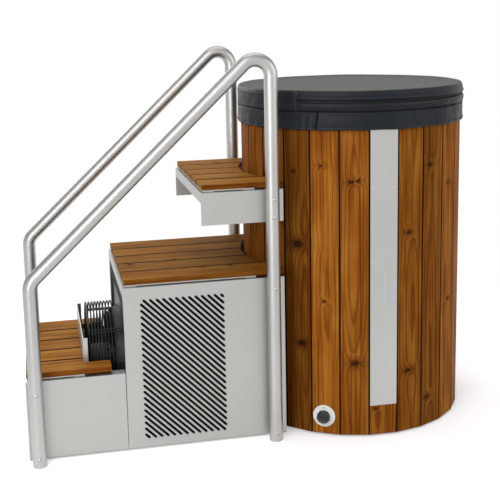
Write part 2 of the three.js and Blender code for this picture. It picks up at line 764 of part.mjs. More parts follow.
// A basket of rings about the fan's axis, held by paired spokes that end in lugs on the shroud.
function fanGuard() {
  const w = WIRE / 2;
  const pieces = [pinX(GUARD_HUB, GUARD_FRONT - w, GUARD_FRONT + w, 20)];
  for (let i = 0; i < GUARD_RINGS; i += 1) {
    pieces.push(wireRing(GUARD_RADIUS, GUARD_FRONT + i * GUARD_PITCH));
  }
  for (let i = 1; i <= FACE_RINGS; i += 1) {
    const share = i / (FACE_RINGS + 1);
    pieces.push(wireRing(GUARD_HUB + (GUARD_RADIUS - GUARD_HUB) * share, GUARD_FRONT));
  }
  const inner = GUARD_RADIUS - WIRE;
  const foot = SHROUD_FRONT - CLEAR;
  const lugHalf = LUG_WIDTH / 2;
  for (let quarterTurn = 0; quarterTurn < 4; quarterTurn += 1) {
    const angle = Math.PI / 4 + (quarterTurn * Math.PI) / 2;
    for (const side of [-1, 1]) {
      const y = (side * SPOKE_GAP) / 2;
      const radial = box(GUARD_FRONT - w, GUARD_FRONT + w, y - w, y + w, MOTOR_RADIUS, inner + w);
      const axial = box(GUARD_FRONT - w, foot, y - w, y + w, inner - w, inner + w);
      pieces.push(radial.rotateX(angle), axial.rotateX(angle));
    }
    const lug = box(foot - LUG_THICKNESS, foot, -lugHalf, lugHalf, inner - w, inner + LUG_REACH);
    pieces.push(lug.rotateX(angle));
  }
  return join(...pieces).translate(0, 0, FAN_HEIGHT);
}

function fanMotor() {
  const body = pinX(MOTOR_RADIUS, MOTOR_FRONT, MOTOR_BACK, 28);
  const shaft = pinX(SHAFT_RADIUS, MOTOR_FRONT + MOTOR_LENGTH / 2, HUB_FRONT + SHAFT_LENGTH, 20);
  return join(body, shaft).translate(0, 0, FAN_HEIGHT);
}

function fanImpeller() {
  const hub = pinX(HUB_RADIUS, HUB_FRONT, HUB_FRONT + HUB_LENGTH, 28);
  const bore = pinX(SHAFT_RADIUS + CLEAR, HUB_FRONT - OVERCUT, HUB_FRONT + SHAFT_LENGTH + CLEAR, 20);
  const root = (HUB_RADIUS + SHAFT_RADIUS) / 2;
  const blades = [];
  for (let i = 0; i < BLADE_COUNT; i += 1) {
    const thick = BLADE_THICKNESS / 2;
    const blade = box(-thick, thick, -BLADE_CHORD / 2, BLADE_CHORD / 2, root, BLADE_TIP).rotateZ(BLADE_PITCH);
    const placed = blade.translate(HUB_FRONT + HUB_LENGTH / 2, 0, 0);
    blades.push(placed.rotateX((i * 2 * Math.PI) / BLADE_COUNT));
  }
  return cut(join(hub, ...blades), bore).translate(0, 0, FAN_HEIGHT);
}

function fanShroud() {
  const plate = box(SHROUD_FRONT, SHROUD_BACK, -SHROUD_HALF, SHROUD_HALF, CHILLER_FLOOR, SHROUD_TOP);
  const collar = pinX(SHROUD_HOLE + COLLAR_WALL, SHROUD_FRONT - COLLAR_LENGTH, SHROUD_BACK, 40);
  const hole = pinX(SHROUD_HOLE, SHROUD_FRONT - COLLAR_LENGTH - OVERCUT, SHROUD_BACK + OVERCUT, 40);
  return cut(join(plate, collar.translate(0, 0, FAN_HEIGHT)), hole.translate(0, 0, FAN_HEIGHT));
}

function buildFan() {
  add("fan_shield", shield(), steel);
  add("fan_shroud", fanShroud(), black);
  add("fan_guard", fanGuard(), black);
  add("fan_motor", fanMotor(), black);
  add("fan_impeller", fanImpeller(), black);
}

// The water tank, with two pipes straight into the stave that faces it.
function buildTank() {
  const centre = PIPE_LENGTH + TANK_RADIUS;
  const tank = pinZ(TANK_RADIUS, CHILLER_FLOOR, TANK_TOP, 28).translate(centre, 0, 0);
  add("water_tank", ontoStave(tank, TANK_STAVE_INDEX, 0, 0), liner);
  const heights = { supply_pipe: SUPPLY_HEIGHT, return_pipe: TANK_TOP - RETURN_DROP };
  for (const [name, height] of Object.entries(heights)) {
    const pipe = pinX(PIPE_RADIUS, CLEAR, centre, 20);
    const room = pinZ(TANK_RADIUS + CLEAR, -2 * PIPE_RADIUS, 2 * PIPE_RADIUS, 28).translate(centre, 0, 0);
    add(name, ontoStave(cut(pipe, room), TANK_STAVE_INDEX, 0, height), copper);
  }
}

function buildChiller() {
  const reach = INNER_HALF - CLEAR;
  const front = MID_FRONT + SHEET + CLEAR;
  add("chiller_tray", box(front, TRAY_END, -reach, reach, TRAY_FLOOR, TRAY_FLOOR + SHEET), steel);
  const coil = box(COIL_FRONT, COIL_BACK, -SHROUD_HALF, SHROUD_HALF, CHILLER_FLOOR, SHROUD_TOP);
  add("condenser", coil, fins);
  const compressor = pinZ(COMPRESSOR_RADIUS, CHILLER_FLOOR, COMPRESSOR_TOP, 28);
  const compressorX = COIL_BACK + COMPRESSOR_GAP + COMPRESSOR_RADIUS;
  const compressorY = INNER_HALF - COMPRESSOR_MARGIN - COMPRESSOR_RADIUS;
  add("compressor", compressor.translate(compressorX, compressorY, 0), black);
  buildTank();
}

buildTub();
buildDrain();
buildLid();
buildLowerBox();
buildMidBox();
add("top_bracket", topBracket(), steel);
buildTreads();
buildRails();
buildFan();
buildChiller();

export default object;
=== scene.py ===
import math

import bmesh
import bpy
from mathutils import Matrix, Vector, noise


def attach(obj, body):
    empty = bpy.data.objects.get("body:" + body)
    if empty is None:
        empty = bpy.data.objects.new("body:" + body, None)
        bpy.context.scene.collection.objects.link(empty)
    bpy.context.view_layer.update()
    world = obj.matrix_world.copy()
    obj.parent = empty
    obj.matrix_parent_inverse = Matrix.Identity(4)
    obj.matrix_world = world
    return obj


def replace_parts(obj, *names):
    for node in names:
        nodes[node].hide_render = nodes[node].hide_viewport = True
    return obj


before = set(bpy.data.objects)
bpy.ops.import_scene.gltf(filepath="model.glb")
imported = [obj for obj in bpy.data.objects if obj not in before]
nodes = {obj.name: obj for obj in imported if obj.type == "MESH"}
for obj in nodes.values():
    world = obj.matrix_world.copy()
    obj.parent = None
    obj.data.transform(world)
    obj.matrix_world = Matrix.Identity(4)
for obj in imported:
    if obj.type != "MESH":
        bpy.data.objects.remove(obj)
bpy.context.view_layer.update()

# Photograph and camera, in pixels, radians and metres
IMAGE_SIZE = 500
IMAGE_CENTRE = (251.52, 189.67)
FOCAL_LENGTH = 1000.48
SENSOR_WIDTH = 36
CAMERA_PLACE = (-1.2445, -3.8455, 1.6146)
CAMERA_YAW = 0.2142
CAMERA_PITCH = 0.1789
CAMERA_ROLL = -0.0200

# Barrel, in metres as are all sizes below
STAVES = 25
STAVE_WIDTH = 0.110
STAVE_ANGLE = 2 * math.pi / STAVES
FACE_RADIUS = STAVE_WIDTH / (2 * math.tan(STAVE_ANGLE / 2))
PLATE_ANGLE = math.radians(-91)
PLATE_SCREW_HEIGHTS = (0.960, 0.682, 0.404, 0.138)
PLATE_SCREW_OFFSET = 0.041
DRAIN_STAVE = -2
DRAIN_OFFSET = -0.007
DRAIN_HEIGHT = 0.079
ROSE_SCREW_RADIUS = 0.034
ROSE_SCREW_TURNS = (90, -25, 205)

# Lid
RIM_TOP = 1.2123
LID_RADIUS = 0.4468
LID_TOP = RIM_TOP + 0.102
LID_EDGE = 0.010
LID_LIP = 0.0050
LIP_START = 0.395
LIP_WIDTH = 0.035
LID_HOLLOW = 0.0012
SKIRT_SEAM = RIM_TOP + 0.026
SKIRT_BOTTOM = RIM_TOP - 0.036
SKIRT_THICKNESS = 0.0026
SLIT_ANGLE = math.radians(-123.2)
SLIT_LEAN = math.radians(1.3)
ZIP_HEIGHT = SKIRT_SEAM + 0.040
ZIP_START = math.radians(-132.7)
ZIP_SPAN = math.radians(190)
RIM_GAP = 0.0006

# Forms on the lid's cover: how far each stands out, and its width
WELT = (0.0014, 0.0022)
SEAM_GROOVE = (-0.0075, 0.0038)
ZIP_END_GROOVE = (-0.0085, 0.0036)
ZIP_END_ROLL = (0.0030, 0.0060)
ZIP_GROOVE = (-0.0130, 0.0046)
ZIP_UPPER_ROLL = (0.0046, 0.0062)
ZIP_LOWER_ROLL = (0.0036, 0.0110)

# Seams and zip
STITCH_PITCH = 0.0075
STITCH_LENGTH = 0.0048
THREAD_RADIUS = 0.00055
TOOTH_PITCH = 0.0040
TOOTH_DEPTH = 0.0078

# Rails
STAIR_SIDE = 0.320
RAIL_Y = 0.365
TUBE_RADIUS = 0.025
POST_FRONT = -1.2905
POST_REAR = -0.4095
RAIL_KNEE = 0.681
RAIL_PEAK = 1.514
BEND_RADIUS = 0.058
FRONT_BOSSES = (0.033, 0.275)
REAR_BOSSES = (0.033, 0.597, 0.866, 0.931)
BOSS_RADIUS = 0.011
BOSS_GAP = 0.0003
WASHER_RADIUS = 0.0085
WASHER_THICKNESS = 0.0016
WASHER_SINK = 0.0012
BOLT_RADIUS = 0.0068
BOLT_HEIGHT = 0.0042
BOLT_SINK = 0.0002

# Fan guard
FAN_HEIGHT = 0.269
SHROUD_FRONT = -0.9525
GUARD_FRONT = SHROUD_FRONT - 0.130
GUARD_RADIUS = 0.215
GUARD_HUB = 0.056
GUARD_PITCH = 0.012
GUARD_WIRE = 0.0058
SPOKE_BEND = 0.010
SPOKE_GAP = 0.006

# Treads
SLATS = 5
SLAT_PITCH = 0.124
SLAT_TONES = {"lower": (0.98, 1.08, 1.0, 0.93, 1.05), "mid": (1.06, 0.92, 1.0, 1.12, 0.94),
              "top": (1.0, 0.93, 1.04, 0.97, 1.0)}
# Painted light: a brightness for each step's boards, standing in for how much sheen and light each tread
# shows.
SLAT_PAINTED_LIGHT = {"lower": 1.10, "mid": 0.86, "top": 0.96}
SLAT_SEEDS = {"lower": 31.0, "mid": 81.0, "top": 121.0}

# Wood: colours, the sizes of its figure and, for each stave from the plate round, a tone
WOOD_BODY = ((0.3, (0.262, 0.080, 0.0062)), (0.5, (0.335, 0.117, 0.0105)), (0.72, (0.41, 0.160, 0.0185)))
LATE_WOOD = (0.36, 0.26, 0.20, 1.0)
KNOT_RIM = (0.105, 0.027, 0.004, 1.0)
KNOT_HEART = (0.026, 0.0075, 0.002, 1.0)
# The stave joint colour also paints the shade along the staves' bottom.
STAVE_JOINT_AND_SHADE = (0.008, 0.003, 0.001, 1.0)
SLAT_JOINT = (0.012, 0.0045, 0.002, 1.0)
RING_PITCH = 0.0120
RING_SWAY = 0.014
KNOT_PULL = 0.015
KNOT_REACH = 5.5
KNOT_RAGGED = 2.4
NO_KNOT = 100.0
BOARD_SHIFT = 3.71
STAVE_TINT = (0.90, 0.89, 1.15)
# The treads' tint is partly their own colour and partly painted sheen, lighter and paler than the staves.
SLAT_TINT_AND_SHEEN = (0.99, 1.20, 1.45)
STAVE_TONES = (1.0, 0.83, 0.79, 1.24, 1.10, 1.0, 0.85, 0.95, 1.05, 0.9, 1.0, 0.8, 0.95,
               1.02, 0.9, 0.97, 0.85, 1.0, 0.92, 0.98, 0.85, 0.82, 0.57, 1.15, 1.00)

# Knots on the staves that face the photograph: stave, place across it, height and radius
STAVE_KNOTS = ((-3, 0.000, 0.744, 0.0165), (-3, 0.015, 0.359, 0.0130), (-3, -0.016, 1.020, 0.0050),
               (-2, -0.015, 1.044, 0.0060), (-2, -0.004, 0.532, 0.0050), (-1, -0.012, 0.986, 0.0075),
               (-1, 0.014, 0.990, 0.0065), (-1, 0.004, 0.294, 0.0125), (1, -0.008, 0.786, 0.0075),
               (1, -0.008, 0.248, 0.0100), (2, -0.018, 1.032, 0.0085), (2, -0.020, 0.121, 0.0085),
               (3, 0.000, 0.948, 0.0060), (3, 0.010, 0.486, 0.0065), (0, -0.030, 0.112, 0.0050))
KNOTTED_STAVES = 3.5

# Studio: lights as name, place, target, width, height and power
FLOOR_HALF = 40.0
FLOOR_GLOW = 0.33
FLOOR_MIDDLE = (-0.44, 0.0, 0.0)
FLOOR_FADE = (0.9, 2.4)
WORLD_LIGHT = 0.42
LIGHTS = (("key", (-2.6, -3.4, 3.6), (-0.4, 0.0, 0.6), 3.8, 3.8, 120),
          ("strip", (-3.0, -3.6, 1.3), (-0.4, 0.0, 0.8), 0.9, 2.6, 45),
          ("fill", (3.2, -2.6, 2.4), (0.0, 0.0, 0.6), 2.4, 2.4, 45),
          ("top", (-0.3, 0.6, 4.2), (-0.3, 0.0, 0.5), 3.0, 3.0, 70),
          ("back", (-2.2, 3.4, 2.6), (-0.4, 0.0, 0.7), 2.4, 2.4, 60))

# Eased edges of the carried-over solids
SLAT_EASE = 0.0022
SHEET_EASE = 0.0007
CUT_SHEET_EASE = 0.0006
PLATE_EASE = 0.0005
CASTING_EASE = 0.006
EASE_ANGLE = math.radians(40)


# Camera

def make_camera():
    ahead = Vector((math.sin(CAMERA_YAW), math.cos(CAMERA_YAW), 0))
    right = Vector((math.cos(CAMERA_YAW), -math.sin(CAMERA_YAW), 0))
    up = Vector((0, 0, 1))
    forward = ahead * math.cos(CAMERA_PITCH) - up * math.sin(CAMERA_PITCH)
    above = up * math.cos(CAMERA_PITCH) + ahead * math.sin(CAMERA_PITCH)
    side = right * math.cos(CAMERA_ROLL) + above * math.sin(CAMERA_ROLL)
    top = above * math.cos(CAMERA_ROLL) - right * math.sin(CAMERA_ROLL)
    data = bpy.data.cameras.new("camera")
    data.sensor_width = SENSOR_WIDTH
    data.lens = FOCAL_LENGTH / IMAGE_SIZE * SENSOR_WIDTH
    data.shift_x = (IMAGE_SIZE / 2 - IMAGE_CENTRE[0]) / IMAGE_SIZE
    data.shift_y = (IMAGE_CENTRE[1] - IMAGE_SIZE / 2) / IMAGE_SIZE
    data.clip_end = 100
    camera = bpy.data.objects.new("camera", data)
    bpy.context.scene.collection.objects.link(camera)
    turn = Matrix((side, top, -forward)).transposed().to_4x4()
    camera.matrix_world = Matrix.Translation(CAMERA_PLACE) @ turn
    bpy.context.scene.camera = camera


# Node materials

class Shader:
    """A node material under construction."""

    def __init__(self, name):
        self.material = bpy.data.materials.new(name)
        self.material.use_nodes = True
        self.tree = self.material.node_tree
        self.tree.nodes.clear()
        self.out = self.tree.nodes.new("ShaderNodeOutputMaterial")
        self.surface = self.tree.nodes.new("ShaderNodeBsdfPrincipled")
        self.tree.links.new(self.surface.outputs[0], self.out.inputs[0])

    def put(self, socket, value):
        if isinstance(value, bpy.types.NodeSocket):
            self.tree.links.new(value, socket)
        else:
            socket.default_value = value

    def node(self, kind, inputs=(), **settings):
        made = self.tree.nodes.new(kind)
        for key, value in settings.items():
            setattr(made, key, value)
        for key, value in dict(inputs).items():
            self.put(made.inputs[key], value)
        return made

    def math(self, operation, a, b=0.0, c=0.0):
        made = self.node("ShaderNodeMath", {0: a, 1: b, 2: c}, operation=operation)
        return made.outputs[0]

    def times(self, a, b):
        return self.math("MULTIPLY", a, b)

    def plus(self, a, b):
        return self.math("ADD", a, b)

    def place(self):
        return self.node("ShaderNodeTexCoord").outputs["Object"]

    def normal(self):
        return self.parts(self.node("ShaderNodeNewGeometry").outputs["Normal"])

    def parts(self, vector):
        return self.node("ShaderNodeSeparateXYZ", {0: vector}).outputs

    def vector(self, x, y, z=0.0):
        return self.node("ShaderNodeCombineXYZ", {0: x, 1: y, 2: z}).outputs[0]

    def noise(self, vector, scale, detail=2.0, rough=0.5):
        inputs = {"Vector": vector, "Scale": scale, "Detail": detail, "Roughness": rough}
        return self.node("ShaderNodeTexNoise", inputs).outputs["Fac"]

    def ramp(self, factor, stops, interpolation="LINEAR"):
        made = self.node("ShaderNodeValToRGB", {0: factor})
        made.color_ramp.interpolation = interpolation
        elements = made.color_ramp.elements
        while len(elements) < len(stops):
            elements.new(1.0)
        for element, (at, colour) in zip(elements, stops):
            element.position = at
            element.color = (*colour, 1.0)
        return made.outputs[0]

    def range(self, value, from_low, from_high, to_low, to_high):
        inputs = {0: value, 1: from_low, 2: from_high, 3: to_low, 4: to_high}
        return self.node("ShaderNodeMapRange", inputs, clamp=True).outputs[0]

    def mix(self, factor, a, b, blend="MIX"):
        made = self.node("ShaderNodeMix", {0: factor, 6: a, 7: b}, data_type="RGBA", blend_type=blend)
        return made.outputs[2]

    def tinted(self, colour, tint):
        return self.mix(1.0, colour, tint, "MULTIPLY")

    def bump(self, height, strength, distance):
        inputs = {"Height": height, "Strength": strength, "Distance": distance}
        self.put(self.surface.inputs["Normal"], self.node("ShaderNodeBump", inputs).outputs[0])

    def set(self, **values):
        for key, value in values.items():
            self.put(self.surface.inputs[key.replace("_", " ")], value)


def grey(level):
    return (level, level, level)


def cloudy(s, factor, colour, low, high):
    """A colour that drifts between two multiples of itself."""
    dark = tuple(c * low for c in colour)
    pale = tuple(min(1.0, c * high) for c in colour)
    return s.ramp(factor, [(0.3, dark), (0.7, pale)])


def scattered_knots(s, across, along, seed):
    """Distance to the nearest of some scattered knots, in knot radii."""
    squash = 0.7
    cells_per_metre = 5.2
    radii_per_cell = 22.0
    share_left_out = 0.5
    cell = s.vector(s.math("MULTIPLY_ADD", across, squash, s.times(seed, BOARD_SHIFT)), along)
    inputs = {"Vector": cell, "Scale": cells_per_metre}
    knots = s.node("ShaderNodeTexVoronoi", inputs, voronoi_dimensions="2D")
    passed = s.math("LESS_THAN", s.parts(knots.outputs["Color"])[0], share_left_out)
    return s.math("MULTIPLY_ADD", knots.outputs["Distance"], radii_per_cell, s.times(passed, NO_KNOT))


def placed_knots(s, arc, along, knots):
    """Distance to the nearest of the listed knots (arc, height, radius), in knot radii."""
    squash = 0.62
    here = s.vector(s.times(arc, squash), along)
    nearest = NO_KNOT
    for at, height, radius in knots:
        inputs = {0: here, 1: (at * squash, height, 0.0)}
        there = s.node("ShaderNodeVectorMath", inputs, operation="DISTANCE")
        nearest = s.math("MINIMUM", nearest, s.math("DIVIDE", there.outputs["Value"], radius))
    return nearest


def growth_rings(s, across, along, seed, distance):
    """Late wood of plain-sawn rings, 0 to 1, arched along the board and bent round its knots."""
    near = s.range(distance, 0.0, KNOT_REACH, 1.0, 0.0)
    pull = s.times(s.math("POWER", near, 2.0), KNOT_PULL)
    slow = s.noise(s.vector(seed, s.times(along, 0.45)), scale=1.6, detail=1.0)
    swayed = s.vector(s.times(across, 3.0), s.times(along, 1.1), s.times(seed, BOARD_SHIFT))
    sway = s.times(s.noise(swayed, scale=3.0), RING_SWAY)
    heart = s.math("MULTIPLY_ADD", s.noise(s.vector(seed, 5.3), scale=2.3), 0.16, -0.08)
    off = s.math("SUBTRACT", across, heart)
    depth = s.math("MULTIPLY_ADD", slow, 0.13, -0.03)
    radius = s.math("SQRT", s.plus(s.times(off, off), s.times(depth, depth)))
    bent = s.plus(s.plus(radius, pull), sway)
    ring = s.math("FRACT", s.math("DIVIDE", bent, RING_PITCH))
    return s.ramp(ring, [(0.0, grey(0.0)), (0.5, grey(0.15)), (0.86, grey(1.0)), (1.0, grey(0.0))])


def wood_pattern(s, across, along, seed, tone, tint, knots):
    """A plain-sawn board: growth rings, dark streaks and fibres, knots and a tone of its own."""

    def grain(fine, long, third, **settings):
        return s.noise(s.vector(s.times(across, fine), s.times(along, long), third), **settings)

    ragged = s.noise(s.vector(across, along, seed), scale=150.0, detail=4.0, rough=0.6)
    distance = s.plus(knots, s.math("MULTIPLY_ADD", ragged, KNOT_RAGGED, -KNOT_RAGGED / 2))
    late = growth_rings(s, across, along, seed, distance)
    fibre = grain(480.0, 5.0, seed, scale=1.0, detail=3.0)
    streak = grain(120.0, 1.4, seed, scale=1.0, detail=3.0, rough=0.6)
    cloud = grain(5.0, 1.3, s.times(seed, BOARD_SHIFT), scale=3.2)
    body = s.ramp(cloud, WOOD_BODY)
    dark = s.tinted(body, LATE_WOOD)
    colour = s.mix(s.times(late, 0.72), body, dark)
    colour = s.mix(s.range(streak, 0.46, 0.66, 0.0, 0.78), colour, dark)
    colour = s.mix(s.range(fibre, 0.42, 0.75, 0.0, 0.45), colour, dark)
    colour = s.mix(s.range(distance, 0.8, 2.9, 0.62, 0.0), colour, KNOT_RIM)
    colour = s.mix(s.range(distance, 0.5, 1.15, 0.88, 0.0), colour, KNOT_HEART)
    colour = s.tinted(colour, s.vector(*(s.times(tone, part) for part in tint)))
    s.set(Roughness=s.range(fibre, 0.3, 0.8, 0.44, 0.62), Specular_IOR_Level=0.02)
    height = s.math("SUBTRACT", s.times(fibre, 0.6), s.times(late, 0.4))
    s.bump(height, strength=0.16, distance=0.0012)
    return colour


def stave_material():
    """Boards upright round the barrel, each with its own grain and tone, dark at the joints, with painted
    shade along the bottom.
    """
    s = Shader("thermowood_staves")
    x, y, z = s.parts(s.place())
    angle = s.math("ARCTAN2", y, x)
    turned = s.math("DIVIDE", s.plus(angle, 4 * math.pi - PLATE_ANGLE), STAVE_ANGLE)
    shifted = s.plus(turned, 0.5)
    index = s.math("FLOORED_MODULO", s.math("FLOOR", shifted), STAVES)
    share = s.math("SUBTRACT", s.math("FRACT", shifted), 0.5)
    across = s.times(share, STAVE_WIDTH)
    stops = [(k / STAVES, grey(tone)) for k, tone in enumerate(STAVE_TONES)]
    tone = s.ramp(s.math("DIVIDE", s.plus(index, 0.5), STAVES), stops, "CONSTANT")
    seed = s.math("MULTIPLY_ADD", index, 1.37, 0.4)
    front = s.math("WRAP", s.plus(index, share), STAVES / 2, -STAVES / 2)
    listed = [(k * STAVE_WIDTH + at, height, radius) for k, at, height, radius in STAVE_KNOTS]
    placed = placed_knots(s, s.times(front, STAVE_WIDTH), z, listed)
    hidden = s.math("GREATER_THAN", s.math("ABSOLUTE", front), KNOTTED_STAVES)
    shown = s.times(s.math("SUBTRACT", 1.0, hidden), NO_KNOT)
    loose = s.plus(scattered_knots(s, across, z, seed), shown)
    colour = wood_pattern(s, across, z, seed, tone, STAVE_TINT, s.math("MINIMUM", placed, loose))
    edge = s.range(s.math("ABSOLUTE", share), 0.452, 0.484, 0.0, 0.95)
    # Painted shade: the lowest 12 mm are blended towards the joint colour, as the shadow gap above the
    # floor.
    bottom_shade = s.range(z, 0.0, 0.012, 0.75, 0.0)
    s.set(Base_Color=s.mix(s.math("MAXIMUM", edge, bottom_shade), colour, STAVE_JOINT_AND_SHADE))
    return s.material


def slat_material(name, seed, tone, light):
    """A tread board, dark where two boards meet, with painted shade on its upright faces."""
    s = Shader(name)
    x, y, z = s.parts(s.place())
    across = s.plus(y, s.times(z, 0.7))
    # The tint and light level carry painted sheen: the treads are drawn lighter and paler than the staves.
    tint = [part * light for part in SLAT_TINT_AND_SHEEN]
    colour = wood_pattern(s, across, x, seed, tone, tint, scattered_knots(s, across, x, seed))
    half_tread = SLAT_PITCH * SLATS / 2
    share = s.math("FRACT", s.math("DIVIDE", s.plus(y, half_tread), SLAT_PITCH))
    edge = s.range(s.math("ABSOLUTE", s.math("SUBTRACT", share, 0.5)), 0.42, 0.468, 0.0, 0.95)
    between = s.math("LESS_THAN", s.math("ABSOLUTE", y), half_tread - 0.02)
    colour = s.mix(s.times(edge, between), colour, SLAT_JOINT)
    # Painted shade: faces that look along y take a darker tint.
    upright = s.range(s.math("ABSOLUTE", s.normal()[1]), 0.4, 0.8, 0.0, 1.0)
    s.set(Base_Color=s.mix(upright, colour, s.tinted(colour, (0.62, 0.50, 0.55, 1.0))))
    return s.material


def steel_material(name, axis, colour, rough):
    """Satin sheet: faint streaks along one axis over a slow change of gloss, with painted shade along the
    bottom.
    """
    s = Shader(name)
    fine_scale, long_scale = 300.0, 3.0
    place = s.parts(s.place())
    streak = [s.times(place[k], long_scale if k == axis else fine_scale) for k in range(3)]
    fine = s.noise(s.vector(*streak), scale=1.0, detail=3.0)
    broad = s.noise(s.place(), scale=2.2)
    shade = s.plus(s.times(fine, 0.5), s.times(broad, 0.5))
    # Painted shade: the colour falls to 0.42 of itself over the lowest 11 mm, where the sheet meets the
    # floor.
    bottom_shade = s.range(place[2], 0.0, 0.011, 0.42, 1.0)
    toned = s.tinted(cloudy(s, shade, colour, 0.97, 1.03), s.vector(bottom_shade, bottom_shade, bottom_shade))
    s.set(Base_Color=toned, Metallic=1.0, Roughness=s.range(shade, 0.3, 0.7, rough - 0.03, rough + 0.03))
    return s.material


def tube_material():
    """Evenly satin tube, with a slow change of gloss along it, and painted shade on its upward faces."""
    s = Shader("stainless_tube")
    broad = s.noise(s.place(), scale=3.0)
    clean = s.ramp(broad, [(0.3, (0.445, 0.441, 0.429)), (0.7, (0.475, 0.471, 0.459))])
    # Painted shade: faces that look upward take half the colour.
    shaded_top = s.tinted(clean, (0.50, 0.50, 0.50, 1.0))
    above = s.range(s.normal()[2], 0.0, 0.55, 0.0, 1.0)
    s.set(Base_Color=s.mix(above, clean, shaded_top), Metallic=1.0, Roughness=s.range(broad, 0.3, 0.7, 0.38, 0.43))
    return s.material


def moulded_material(name, colour, rough, grain=900.0, metallic=0.0, bump=0.12, change=0.25, gloss=0.5):
    """Moulded or painted surface with a fine grain and slight cloudiness."""
    s = Shader(name)
    fine = s.noise(s.place(), scale=grain)
    broad = s.noise(s.place(), scale=9.0, detail=3.0)
    s.set(Base_Color=cloudy(s, broad, colour, 1 - change, 1 + change), Metallic=metallic,
          Roughness=s.range(broad, 0.3, 0.7, rough - 0.06, rough + 0.06), Specular_IOR_Level=gloss)
    s.bump(fine, strength=bump, distance=0.0006)
    return s.material


def vinyl_material(name, colour):
    """Coated vinyl: a pebbled grain, soft wrinkles and a soft sheen, calmer on top, with painted light that
    makes the top lighter and greener.
    """
    s = Shader(name)
    pebble = s.node("ShaderNodeTexVoronoi", {"Vector": s.place(), "Scale": 520.0}).outputs["Distance"]
    x, y, z = s.parts(s.place())
    folded = s.vector(s.times(x, 11.0), s.times(y, 11.0), s.times(z, 26.0))
    crease = s.noise(folded, scale=1.0, detail=4.0, rough=0.62)
    cloud = s.noise(s.place(), scale=6.0, detail=3.0)
    above = s.range(s.normal()[2], 0.55, 0.95, 0.0, 1.0)
    side = cloudy(s, cloud, colour, 0.75, 1.3)
    # Painted light: the top takes a lighter, greener colour than the sides, for the light falling on it from
    # above.
    top = s.ramp(cloud, [(0.3, (0.022, 0.023, 0.019)), (0.7, (0.027, 0.028, 0.023))])
    rough = s.range(crease, 0.3, 0.7, 0.30, 0.48)
    matt = s.times(above, s.math("SUBTRACT", 0.50, rough))
    s.set(Base_Color=s.mix(above, side, top), Roughness=s.plus(rough, matt), Specular_IOR_Level=0.14)
    calm = s.range(above, 0.0, 1.0, 1.0, 0.45)
    s.bump(s.plus(s.times(pebble, 0.10), s.times(crease, calm)), strength=0.45, distance=0.007)
    return s.material


def fin_material():
    """A pack of thin metal fins, with painted shade in the gaps between them."""
    s = Shader("fin_pack")
    fins_per_metre = 400.0
    fins = s.math("FRACT", s.times(s.parts(s.place())[1], fins_per_metre))
    # Painted shade: the darkest band at each pitch stands for the gap between two fins.
    s.set(Base_Color=s.ramp(fins, [(0.0, grey(0.05)), (0.4, grey(0.45)), (1.0, grey(0.30))]), Metallic=1.0,
          Roughness=0.45)
    s.bump(fins, strength=0.5, distance=0.001)
    return s.material


# Mesh pieces

def piece(name, verts, faces, material, body, smooth=True):
    mesh = bpy.data.meshes.new(name)
    mesh.from_pydata(verts, [], faces)
    made = bmesh.new()
    made.from_mesh(mesh)
    bmesh.ops.recalc_face_normals(made, faces=made.faces)
    made.to_mesh(mesh)
    made.free()
    mesh.materials.append(material)
    if smooth:
        mesh.shade_smooth()
    else:
        mesh.shade_flat()
    obj = bpy.data.objects.new(name, mesh)
    bpy.context.scene.collection.objects.link(obj)
    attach(obj, body)
    return obj


def sharp(obj, degrees=35):
    """Marks the edges sharper than an angle, so smooth shading stops there."""
    mesh = obj.data
    made = bmesh.new()
    made.from_mesh(mesh)
    for edge in made.edges:
        if edge.is_manifold and edge.calc_face_angle(0) > math.radians(degrees):
            edge.smooth = False
    made.to_mesh(mesh)
    made.free()
    return obj


def lifted(height):
    return Vector((0, 0, height))


def round_barrel(theta):
    """Directions outward and along the circle at an angle."""
    return Vector((math.cos(theta), math.sin(theta), 0)), Vector((-math.sin(theta), math.cos(theta), 0))


class Form:
    """Vertices and faces gathered for one piece."""

    def __init__(self):
        self.verts = []
        self.faces = []

    def loft(self, rings, cyclic=False):
        """Skin over rings of points, closed at both ends unless the last ring joins the first."""
        start = len(self.verts)
        count = len(rings[0])
        for ring in rings:
            self.verts.extend(tuple(p) for p in ring)
        steps = len(rings) if cyclic else len(rings) - 1
        for i in range(steps):
            a = start + i * count
            b = start + ((i + 1) % len(rings)) * count
            for j in range(count):
                k = (j + 1) % count
                self.faces.append((a + j, a + k, b + k, b + j))
        if not cyclic:
            last = start + (len(rings) - 1) * count
            self.faces.append(tuple(range(start + count - 1, start - 1, -1)))
            self.faces.append(tuple(range(last, last + count)))

    def spun(self, profile, origin, axis, segments=32):
        """A profile of (radius, height) pairs spun about an axis, closed at both ends."""
        turn = Vector(axis).to_track_quat("Z", "Y").to_matrix()
        rings = []
        for radius, height in profile:
            ring = []
            for j in range(segments):
                a = 2 * math.pi * j / segments
                local = Vector((radius * math.cos(a), radius * math.sin(a), height))
                ring.append(Vector(origin) + turn @ local)
            rings.append(ring)
        self.loft(rings)

    def tube(self, path, normals, radius, segments=32, cyclic=False):
        """A round tube along points; each normal is square to the path there."""
        rings = []
        count = len(path)
        for i, (p, n) in enumerate(zip(path, normals)):
            before = path[i - 1] if cyclic or i > 0 else p
            after = path[(i + 1) % count] if cyclic or i < count - 1 else p
            tangent = (after - before).normalized()
            other = tangent.cross(n).normalized()
            ring = []
            for j in range(segments):
                a = 2 * math.pi * j / segments
                ring.append(p + n * (radius * math.cos(a)) + other * (radius * math.sin(a)))
            rings.append(ring)
        self.loft(rings, cyclic=cyclic)

    def piece(self, name, material, body, slot_name, smooth=True):
        return piece(name, self.verts, self.faces, material, body, smooth)


